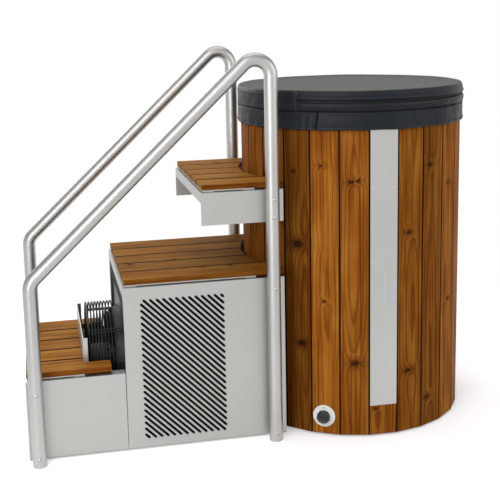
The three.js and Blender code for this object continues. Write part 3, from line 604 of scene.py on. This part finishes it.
def button_head(form, at, axis, radius, height):
    """A domed screw head with a sunk socket."""
    steps = 6
    wall = 0.25
    dome = [(radius, 0.0), (radius, height * wall)]
    for k in range(1, steps):
        a = k / steps * math.pi / 2
        dome.append((radius * (0.98 * math.cos(a) + 0.02), height * (wall + (1 - wall) * math.sin(a))))
    socket = radius * 0.42
    dome += [(socket * 1.08, height), (socket, height * 0.97), (socket * 0.96, height * 0.35)]
    form.spun(dome, at, axis, 24)


# Rails

def rail_path(y):
    """Points and normals along a rail: up the front post, up the slope and down the rear post."""
    slope = math.atan2(RAIL_PEAK - RAIL_KNEE, POST_REAR - POST_FRONT)
    path = [Vector((POST_FRONT, y, 0.0))]
    normals = [Vector((-1, 0, 0))]

    def straight(x, z0, z1, heading, steps):
        for i in range(1, steps):
            path.append(Vector((x, y, z0 + (z1 - z0) * i / steps)))
            normals.append(Vector((-math.sin(heading), 0, math.cos(heading))))

    def bend(x, z, start, end, steps):
        reach = BEND_RADIUS * math.tan(abs(end - start) / 2)
        cx = x - reach * math.cos(start) + BEND_RADIUS * math.sin(start)
        cz = z - reach * math.sin(start) - BEND_RADIUS * math.cos(start)
        for i in range(steps + 1):
            h = start + (end - start) * i / steps
            path.append(Vector((cx - BEND_RADIUS * math.sin(h), y, cz + BEND_RADIUS * math.cos(h))))
            normals.append(Vector((-math.sin(h), 0, math.cos(h))))

    straight(POST_FRONT, 0.0, RAIL_KNEE - BEND_RADIUS, math.pi / 2, 6)
    bend(POST_FRONT, RAIL_KNEE, math.pi / 2, slope, 12)
    bend(POST_REAR, RAIL_PEAK, slope, -math.pi / 2, 28)
    straight(POST_REAR, path[-1].z, 0.0, -math.pi / 2, 10)
    path.append(Vector((POST_REAR, y, 0.0)))
    normals.append(Vector((1, 0, 0)))
    return path, normals


def make_rail(name, side, tube, bolt):
    """A bent tube with bosses to the stair's side, and a washer and bolt outside each boss."""
    y = side * RAIL_Y
    out = (0, side, 0)
    inner = side * (STAIR_SIDE + BOSS_GAP)
    seat = y + side * (TUBE_RADIUS - WASHER_SINK)
    head = seat + side * (WASHER_THICKNESS - BOLT_SINK)
    form = Form()
    form.tube(*rail_path(y), TUBE_RADIUS, 40)
    heads = Form()
    for x, heights in ((POST_FRONT, FRONT_BOSSES), (POST_REAR, REAR_BOSSES)):
        for z in heights:
            form.spun([(BOSS_RADIUS, 0.0), (BOSS_RADIUS, abs(y - inner))], (x, inner, z), out, 24)
            heads.spun([(WASHER_RADIUS, 0.0), (WASHER_RADIUS, WASHER_THICKNESS)], (x, seat, z), out, 24)
            button_head(heads, (x, head, z), out, BOLT_RADIUS, BOLT_HEIGHT)
    rail = sharp(form.piece(name + "_tube", tube, "frame", "stainless"))
    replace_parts(rail, name)
    sharp(heads.piece(name + "_bolts", bolt, "frame", "stainless"), 30)


# Fan guard

def guard_ring(form, radius, x):
    segments = 96
    path = []
    normals = []
    for i in range(segments):
        a = 2 * math.pi * i / segments
        out = Vector((0, math.cos(a), math.sin(a)))
        path.append(Vector((x, 0, FAN_HEIGHT)) + out * radius)
        normals.append(out)
    form.tube(path, normals, GUARD_WIRE / 2, 8, cyclic=True)


def guard_spoke(form, turn, y):
    """A wire from the hub out over the face, round a bend and back along the basket to the shroud."""
    face = GUARD_FRONT + 0.0030
    inner = GUARD_RADIUS - GUARD_WIRE
    steps = 6
    route = [(face, y, 0.045)]
    for k in range(steps + 1):
        a = k / steps * math.pi / 2
        route.append((face + SPOKE_BEND * (1 - math.cos(a)), y, inner - SPOKE_BEND * (1 - math.sin(a))))
    route.append((SHROUD_FRONT - 0.001, y, inner))
    path = [turn @ Vector(p) + lifted(FAN_HEIGHT) for p in route]
    form.tube(path, [turn @ Vector((0, 1, 0))] * len(path), GUARD_WIRE / 2, 8)


def guard_lug(form, turn):
    """A flat lug with cut corners that holds the guard on the shroud."""
    low = GUARD_RADIUS - GUARD_WIRE - 0.004
    high = low + 0.020
    half = 0.010
    cut = 0.006
    corners = ((-half, low), (half, low), (half, high - cut),
               (half / 2, high), (-half / 2, high), (-half, high - cut))
    rings = []
    for x in (SHROUD_FRONT - 0.0042, SHROUD_FRONT - 0.0004):
        rings.append([turn @ Vector((x, u, v)) + lifted(FAN_HEIGHT) for u, v in corners])
    form.loft(rings)


def make_guard(wire):
    """A basket of wire rings round the fan and over its face, on four pairs of spokes and four lugs."""
    form = Form()
    basket_rings = 9
    face_rings = 13
    for i in range(basket_rings):
        guard_ring(form, GUARD_RADIUS, GUARD_FRONT + i * GUARD_PITCH)
    for i in range(1, face_rings):
        guard_ring(form, GUARD_HUB + (GUARD_RADIUS - GUARD_HUB) * i / face_rings, GUARD_FRONT)
    for k in range(4):
        turn = Matrix.Rotation(math.pi / 4 + k * math.pi / 2, 3, "X")
        for y in (-SPOKE_GAP, SPOKE_GAP):
            guard_spoke(form, turn, y)
        guard_lug(form, turn)
    hub = [(GUARD_HUB - 0.006, 0.0), (GUARD_HUB, 0.0015), (GUARD_HUB, 0.0032), (GUARD_HUB - 0.004, 0.0046)]
    form.spun(hub, (GUARD_FRONT - 0.0022, 0, FAN_HEIGHT), (1, 0, 0), 48)
    guard = sharp(form.piece("guard_wires", wire, "frame", "black_wire"), 50)
    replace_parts(guard, "fan_guard")


# Lid

def wave(theta, z, scale, seed):
    """Smooth noise round the lid, from about -1 to 1."""
    return noise.noise(Vector((math.cos(theta) * scale, math.sin(theta) * scale, z * scale * 1.6 + seed)))


def bell(distance, width, power=2):
    """A smooth hump, 1 at no distance and near 0 past its width."""
    return math.exp(-(distance / width) ** power)


def stands_out(form, distance, power=2):
    depth, width = form
    return depth * bell(distance, width, power)


def clamped(value):
    return max(0.0, min(1.0, value))


def cover_profile():
    """Points (radius, height) from the middle of the lid's top, over its edge and down its side."""
    reach = 0.43
    rings = 12
    arc_steps = 6
    side_steps = 46
    top = [(reach * (k / rings) ** 0.8, LID_TOP) for k in range(1, rings + 1)]
    high = LID_TOP - LID_EDGE
    low = SKIRT_SEAM - 0.004
    side = []
    for k in range(arc_steps + 1):
        a = k / arc_steps * math.pi / 2
        side.append((LID_RADIUS - LID_EDGE + LID_EDGE * math.sin(a), high + LID_EDGE * math.cos(a)))
    for k in range(1, side_steps + 1):
        side.append((LID_RADIUS, high - (high - low) * k / side_steps))
    under = [(LID_RADIUS - 0.010, SKIRT_SEAM - 0.006), (LID_RADIUS - 0.014, RIM_TOP + RIM_GAP)]
    return top + side + under


def side_relief(theta, z):
    """How far the lid's side stands out: slack, a welt, the skirt's seam, the zip's end and its fold."""
    low = (LID_TOP - z) / (LID_TOP - SKIRT_SEAM)
    relief = (0.0026 * wave(theta, z, 7.0, 1.0) + 0.0016 * wave(theta, z, 21.0, 5.0)) * low
    relief += stands_out(WELT, z - (LID_TOP - 0.0125))
    relief += stands_out(SEAM_GROOVE, z - (SKIRT_SEAM + 0.0035))
    aside = ((theta - ZIP_START + math.pi) % (2 * math.pi) - math.pi) * LID_RADIUS
    relief += stands_out(ZIP_END_GROOVE, aside) + stands_out(ZIP_END_ROLL, aside + 0.010)
    if (theta - ZIP_START) % (2 * math.pi) < ZIP_SPAN:
        above = z - ZIP_HEIGHT
        relief += stands_out(ZIP_GROOVE, above, power=4)
        relief += stands_out(ZIP_UPPER_ROLL, above - 0.0105) + stands_out(ZIP_LOWER_ROLL, above + 0.0150)
    return relief


def cover_point(theta, radius, height):
    """A point of the lid's profile, moved to where the slack and stitched vinyl has it."""
    lip = clamped((height - LID_TOP + LID_EDGE) / LID_EDGE) * clamped((radius - LIP_START) / LIP_WIDTH)
    raised = height + LID_LIP * lip
    share = radius / LID_RADIUS
    if height >= LID_TOP - 0.0005:
        raised += 0.0014 * wave(theta, 0.0, 2.2 * share, 3.0) * share - LID_HOLLOW * (1 - share ** 2)
    else:
        radius += side_relief(theta, height)
    return (radius * math.cos(theta), radius * math.sin(theta), raised)


def make_cover(vinyl):
    """The lid's top and side, with a lip, a rolled edge, a seam and a zip fold part of the way round."""
    segments = 400
    profile = cover_profile()
    count = len(profile)
    verts = []
    for j in range(segments):
        theta = 2 * math.pi * j / segments
        verts.extend(cover_point(theta, radius, height) for radius, height in profile)
    centre = len(verts)
    bottom = centre + 1
    verts.append((0, 0, LID_TOP - LID_HOLLOW))
    verts.append((0, 0, RIM_TOP + RIM_GAP))
    faces = []
    for j in range(segments):
        a, b = j * count, ((j + 1) % segments) * count
        for k in range(count - 1):
            faces.append((a + k, a + k + 1, b + k + 1, b + k))
        faces.append((centre, a, b))
        faces.append((bottom, b + count - 1, a + count - 1))
    cover = piece("lid_padding", verts, faces, vinyl, "lid")
    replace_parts(cover, "lid_cover", "lid_core")


def skirt_point(t, low):
    """Radius, angle and height of the skirt, a share t round from the slit and a share low down."""
    top = SKIRT_SEAM + 0.0015
    theta = SLIT_ANGLE - SLIT_LEAN * (low - 0.5) + 2 * math.pi * t
    z = top - (top - SKIRT_BOTTOM) * low + 0.0022 * wave(theta, 0.0, 5.0, 9.0) * low
    slack = 0.0034 * wave(theta, z * 0.4, 8.0, 2.0) + 0.0018 * wave(theta, z, 22.0, 4.0)
    hem = 0.0018 * bell(low - 0.93, 0.035) - 0.0012 * bell(low - 0.86, 0.02)
    from_end = (1 - t) * 360
    from_start = t * 360
    fold = math.cos(from_end * 1.7 + low * 1.2) * math.exp(-from_end / 6.0)
    flap = 0.0042 * bell(from_end, 5.0) + 0.0040 * fold * (0.3 + low) - 0.0014 * bell(from_start, 3.0)
    return LID_RADIUS + 0.0008 + slack * (0.25 + 0.75 * low) + hem + flap, theta, z


def make_skirt(vinyl):
    """The skirt that hangs from the lid: one slack strip that meets at a slit, with a turned-back flap."""
    segments = 420
    rows = 22
    count = rows + 1
    outer = []
    inner = []
    for j in range(segments + 1):
        for k in range(count):
            radius, theta, z = skirt_point(j / segments, k / rows)
            for side, reach in ((outer, radius), (inner, radius - SKIRT_THICKNESS)):
                side.append((reach * math.cos(theta), reach * math.sin(theta), z))
    base = len(outer)
    faces = []
    for j in range(segments):
        a, b = j * count, (j + 1) * count
        for k in range(rows):
            faces.append((a + k, a + k + 1, b + k + 1, b + k))
            faces.append((base + a + k, base + b + k, base + b + k + 1, base + a + k + 1))
        faces.append((a, b, base + b, base + a))
        faces.append((a + rows, base + a + rows, base + b + rows, b + rows))
    for j in (0, segments):
        a = j * count
        for k in range(rows):
            faces.append((a + k, base + a + k, base + a + k + 1, a + k + 1))
    skirt = piece("lid_skirt", outer + inner, faces, vinyl, "lid")


def make_stitches(thread):
    """Raised stitches over the skirt's seam, along its hem and up the zip's end."""
    form = Form()
    sunk = 0.0006
    proud = 0.0002

    def stitch(middle, along, out, length):
        rise = along * (length * 0.2)
        a = middle - along * (length / 2)
        b = middle + along * (length / 2)
        path = [a - out * sunk, a + out * proud + rise, b + out * proud - rise, b - out * sunk]
        form.tube(path, [out] * len(path), THREAD_RADIUS, 5)

    def row(z, outside, start, span):
        count = int(span * LID_RADIUS / STITCH_PITCH)
        for i in range(count):
            out, along = round_barrel(start + span * (i + 0.5) / count)
            stitch(out * (LID_RADIUS + outside) + lifted(z), along, out, STITCH_LENGTH)

    row(SKIRT_SEAM + 0.0085, 0.0012, ZIP_START + 0.02, 2 * math.pi - 0.04)
    row(SKIRT_BOTTOM + 0.0090, 0.0016, SLIT_ANGLE + 0.05, 2 * math.pi - 0.2)
    out, _ = round_barrel(ZIP_START - 0.012)
    for i in range(7):
        z = SKIRT_SEAM + 0.010 + i * 0.0085
        stitch(out * (LID_RADIUS + 0.0016) + lifted(z), Vector((0, 0, 1)), out, 0.0052)
    form.piece("lid_stitches", thread, "lid", "vinyl")


def make_zip(plastic, metal):
    """Zip teeth in the lid's fold, set high and low in turn, and the slider with its pull tab."""
    form = Form()
    stagger = 0.0010
    half_width = 0.0013
    tooth = ((-0.0022, -0.0020), (0.0008, -0.0020), (0.0012, 0.0), (0.0008, 0.0020), (-0.0022, 0.0020))
    count = int(ZIP_SPAN * (LID_RADIUS - 0.0085) / TOOTH_PITCH)
    for i in range(count):
        out, along = round_barrel(ZIP_START + ZIP_SPAN * (i + 0.5) / count)
        at = out * (LID_RADIUS - TOOTH_DEPTH) + lifted(ZIP_HEIGHT + (stagger if i % 2 else -stagger))
        rings = []
        for d in (-half_width, half_width):
            rings.append([at + along * d + out * u + lifted(v) for u, v in tooth])
        form.loft(rings)
    form.piece("lid_zip_teeth", plastic, "lid", "black_plastic", smooth=False)

    out, along = round_barrel(ZIP_START + ZIP_SPAN - 1.36)
    at = out * (LID_RADIUS - 0.002) + lifted(ZIP_HEIGHT)
    octagon = ((-1, -0.6), (-0.6, -1), (0.6, -1), (1, -0.6), (1, 0.6), (0.6, 1), (-0.6, 1), (-1, 0.6))
    square = ((-1, -1), (1, -1), (1, 1), (-1, 1))
    pull = Form()
    slider = []
    for u, half, tall in ((-0.006, 0.006, 0.0035), (0.0, 0.007, 0.0045), (0.0035, 0.0055, 0.0035)):
        slider.append([at + out * u + along * (half * c) + lifted(tall * d) for c, d in octagon])
    pull.loft(slider)
    tab = []
    for v, half in ((0.000, 0.0022), (-0.006, 0.0030), (-0.020, 0.0030), (-0.025, 0.0018)):
        middle = at + out * 0.0034 + lifted(v)
        tab.append([middle + along * (half * c) + out * (0.0007 * d) for c, d in square])
    pull.loft(tab)
    sharp(pull.piece("lid_zip_pull", metal, "lid", "stainless"), 40)


# Plate screws and drain

def on_stave(index, offset, z, outside):
    """A point on or outside a stave's face, and the face's direction outward."""
    normal, along = round_barrel(PLATE_ANGLE + index * STAVE_ANGLE)
    return normal * (FACE_RADIUS + outside) + along * offset + lifted(z), normal


def make_screws(chrome):
    plate = Form()
    for z in PLATE_SCREW_HEIGHTS:
        for offset in (-PLATE_SCREW_OFFSET, PLATE_SCREW_OFFSET):
            at, normal = on_stave(0, offset, z, 0.0021)
            button_head(plate, at, normal, 0.0042, 0.0016)
    sharp(plate.piece("plate_screws", chrome, "frame", "stainless"), 30)
    rose = Form()
    for turn in ROSE_SCREW_TURNS:
        offset = DRAIN_OFFSET + ROSE_SCREW_RADIUS * math.cos(math.radians(turn))
        height = DRAIN_HEIGHT + ROSE_SCREW_RADIUS * math.sin(math.radians(turn))
        at, normal = on_stave(DRAIN_STAVE, offset, height, 0.0042)
        button_head(rose, at, normal, 0.0040, 0.0018)
    sharp(rose.piece("rose_screws", chrome, "frame", "stainless"), 30)


def make_rose(white):
    """The round plate that the drain's knob stands on."""
    at, normal = on_stave(DRAIN_STAVE, DRAIN_OFFSET, DRAIN_HEIGHT, 0.0003)
    profile = ((0.0420, 0.0), (0.0430, 0.0008), (0.0430, 0.0028), (0.0418, 0.0040), (0.0270, 0.0046),
               (0.0262, 0.0060), (0.0180, 0.0060), (0.0174, 0.0040), (0.0174, 0.0))
    rose = Form()
    rose.spun(profile, at, normal, 96)
    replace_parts(sharp(rose.piece("rose_disc", white, "frame", "liner"), 40), "drain_rose")


def make_knob(black):
    """A ribbed knob on its stem, with a raised bar across its face."""
    at, normal = on_stave(DRAIN_STAVE, DRAIN_OFFSET, DRAIN_HEIGHT, 0.0003)
    turn = normal.to_track_quat("Z", "Y").to_matrix()
    segments = 160
    ribs = 14
    rib_depth = 0.0032
    stem_radius = 0.0094
    half_bar = (0.0165, 0.0028)
    # Radius, height and share of the ribs' depth
    profile = ((0.0225, 0.0055, 0.0), (0.0250, 0.0070, 1.0), (0.0250, 0.0215, 1.0), (0.0236, 0.0250, 0.6),
               (0.0205, 0.0268, 0.0), (0.0190, 0.0262, 0.0), (0.0080, 0.0258, 0.0))
    knob = Form()
    rings = []
    for radius, height, rib in profile:
        ring = []
        for j in range(segments):
            a = 2 * math.pi * j / segments
            reach = radius - rib_depth * rib * (0.5 - 0.5 * math.cos(ribs * a)) ** 2
            ring.append(at + turn @ Vector((reach * math.cos(a), reach * math.sin(a), height)))
        rings.append(ring)
    knob.loft(rings)
    knob.spun([(stem_radius, -0.020), (stem_radius, 0.0058)], at, normal, 32)
    bar = []
    for height, share in ((0.0252, 1.0), (0.0290, 1.0), (0.0296, 0.82)):
        bar.append([at + turn @ Vector((half_bar[0] * c * share, half_bar[1] * d * share, height))
                    for c, d in ((-1, -1), (1, -1), (1, 1), (-1, 1))])
    knob.loft(bar)
    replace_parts(sharp(knob.piece("knob_grip", black, "drain_valve", "black_plastic"), 45), "drain_knob")


# Floor, world and lights

def background_rays(tree):
    """1 for the rays that see the white background: from the camera, off gloss and through glass."""
    path = tree.nodes.new("ShaderNodeLightPath")
    seen = path.outputs["Is Camera Ray"]
    for ray in ("Is Glossy Ray", "Is Transmission Ray"):
        either = tree.nodes.new("ShaderNodeMath")
        either.operation = "MAXIMUM"
        tree.links.new(seen, either.inputs[0])
        tree.links.new(path.outputs[ray], either.inputs[1])
        seen = either.outputs[0]
    return seen


def make_floor():
    """A pale floor that keeps the object's shadow and fades to white further out."""
    corners = ((-1, -1), (1, -1), (1, 1), (-1, 1))
    mesh = bpy.data.meshes.new("floor")
    mesh.from_pydata([(x * FLOOR_HALF, y * FLOOR_HALF, 0) for x, y in corners], [], [(0, 1, 2, 3)])
    floor = bpy.data.objects.new("floor", mesh)
    bpy.context.scene.collection.objects.link(floor)
    s = Shader("floor_paint")
    s.set(Base_Color=(0.80, 0.80, 0.80, 1.0), Roughness=0.9, Specular_IOR_Level=0.1)
    seen = background_rays(s.tree)
    white = (1, 1, 1, 1)
    glow = s.node("ShaderNodeEmission", {"Color": white, "Strength": s.times(seen, FLOOR_GLOW)})
    lit = s.node("ShaderNodeAddShader", {0: s.surface.outputs[0], 1: glow.outputs[0]})
    blank = s.node("ShaderNodeEmission", {"Color": white, "Strength": 1.0})
    away = s.node("ShaderNodeVectorMath", {0: s.place(), 1: FLOOR_MIDDLE}, operation="DISTANCE")
    far = s.times(s.range(away.outputs["Value"], *FLOOR_FADE, 0.0, 1.0), seen)
    fade = s.node("ShaderNodeMixShader", {0: far, 1: lit.outputs[0], 2: blank.outputs[0]})
    s.tree.links.new(fade.outputs[0], s.out.inputs[0])
    mesh.materials.append(s.material)


def make_world():
    """A white world that lights the object more softly than it shows."""
    world = bpy.data.worlds.new("studio")
    bpy.context.scene.world = world
    world.use_nodes = True
    tree = world.node_tree
    background = tree.nodes["Background"]
    background.inputs["Color"].default_value = (1.0, 1.0, 1.0, 1.0)
    level = tree.nodes.new("ShaderNodeMapRange")
    level.inputs["To Min"].default_value = WORLD_LIGHT
    level.inputs["To Max"].default_value = 1.0
    tree.links.new(background_rays(tree), level.inputs[0])
    tree.links.new(level.outputs[0], background.inputs["Strength"])


def make_lights():
    for name, place, target, width, height, power in LIGHTS:
        data = bpy.data.lights.new(name, "AREA")
        data.shape = "RECTANGLE"
        data.size = width
        data.size_y = height
        data.energy = power
        light = bpy.data.objects.new(name, data)
        bpy.context.scene.collection.objects.link(light)
        light.location = place
        light.rotation_mode = "QUATERNION"
        light.rotation_quaternion = (Vector(target) - Vector(place)).to_track_quat("-Z", "Y")


# Carried-over solids

def dress(name, material, ease=0.0):
    """Gives a solid its material and, with a width, eased edges."""
    obj = nodes[name]
    for held in obj.material_slots:
        held.material = material
    if ease:
        rounded = obj.modifiers.new("eased_edges", "BEVEL")
        rounded.width = ease
        rounded.segments = 2
        rounded.limit_method = "ANGLE"
        rounded.angle_limit = EASE_ANGLE
        rounded.use_clamp_overlap = True


def dress_wood():
    staves = stave_material()
    for k in range(1, 6):
        dress(f"stave_panel_{k}", staves)
    for step, tones in SLAT_TONES.items():
        for k, tone in enumerate(tones):
            seed = SLAT_SEEDS[step] + 7.3 * k
            made = slat_material(f"thermowood_{step}_{k + 1}", seed, tone, SLAT_PAINTED_LIGHT[step])
            dress(f"{step}_slat_{k + 1}", made, SLAT_EASE)


def dress_stair(sheet, plate):
    for step in SLAT_TONES:
        for name in ("bearer_front", "bearer_rear", "tray"):
            dress(f"{step}_{name}", sheet, SHEET_EASE)
    for name in ("lower_side_near", "lower_side_far", "lower_riser", "mid_side_far", "mid_header",
                 "top_bracket", "chiller_tray"):
        dress(name, sheet, SHEET_EASE)
    dress("mid_side_near", sheet, CUT_SHEET_EASE)
    dress("fan_shield", plate, CUT_SHEET_EASE)
    dress("face_plate", plate, PLATE_EASE)
    felt = moulded_material("filter_mat", (0.003, 0.003, 0.0035), 0.9, grain=400.0, gloss=0.05)
    dress("grille_filter", felt)


def dress_tub_and_chiller(black, liner):
    for name in ("tub_base", "drain_spigot", "fan_shroud", "fan_motor", "fan_impeller"):
        dress(name, black)
    for name in ("inner_shell", "water_tank"):
        dress(name, liner)
    foam = moulded_material("foam", (0.7, 0.66, 0.55), 0.9, grain=300.0, bump=0.4)
    for name in ("insulation_base", "insulation_jacket"):
        dress(name, foam)
    for name in ("supply_pipe", "return_pipe"):
        dress(name, moulded_material("pipe_" + name, (0.16, 0.17, 0.18), 0.5))
    dress("compressor", moulded_material("black_paint", (0.012, 0.012, 0.013), 0.4), CASTING_EASE)
    dress("condenser", fin_material())


def main():
    make_camera()
    make_floor()
    make_world()
    make_lights()
    sheet = steel_material("stainless_sheet", 0, (0.45, 0.446, 0.431), 0.42)
    plate = steel_material("stainless_plate", 2, (0.475, 0.475, 0.464), 0.38)
    tube = tube_material()
    bolt = moulded_material("bright_bolt", (0.46, 0.46, 0.445), 0.25, metallic=1.0, bump=0.02, change=0.06)
    black = moulded_material("black_moulding", (0.011, 0.0115, 0.0125), 0.45)
    wire = moulded_material("black_wire", (0.005, 0.005, 0.006), 0.5, gloss=0.3)
    liner = moulded_material("grey_moulding", (0.55, 0.56, 0.565), 0.4, change=0.06)
    white = moulded_material("rose_moulding", (0.66, 0.66, 0.64), 0.35, change=0.05)
    vinyl = vinyl_material("charcoal_vinyl", (0.0086, 0.0109, 0.0142))
    thread = moulded_material("grey_thread", (0.020, 0.022, 0.025), 0.7, change=0.15)
    grip = moulded_material("knob_moulding", (0.006, 0.006, 0.0065), 0.32, change=0.4)
    dress_wood()
    dress_stair(sheet, plate)
    dress_tub_and_chiller(black, liner)
    make_rail("rail_near", -1, tube, bolt)
    make_rail("rail_far", 1, tube, bolt)
    make_guard(wire)
    make_cover(vinyl)
    make_skirt(vinyl)
    make_stitches(thread)
    make_zip(black, bolt)
    make_screws(bolt)
    make_rose(white)
    make_knob(grip)
    bpy.context.scene.view_settings.view_transform = "Standard"


main()
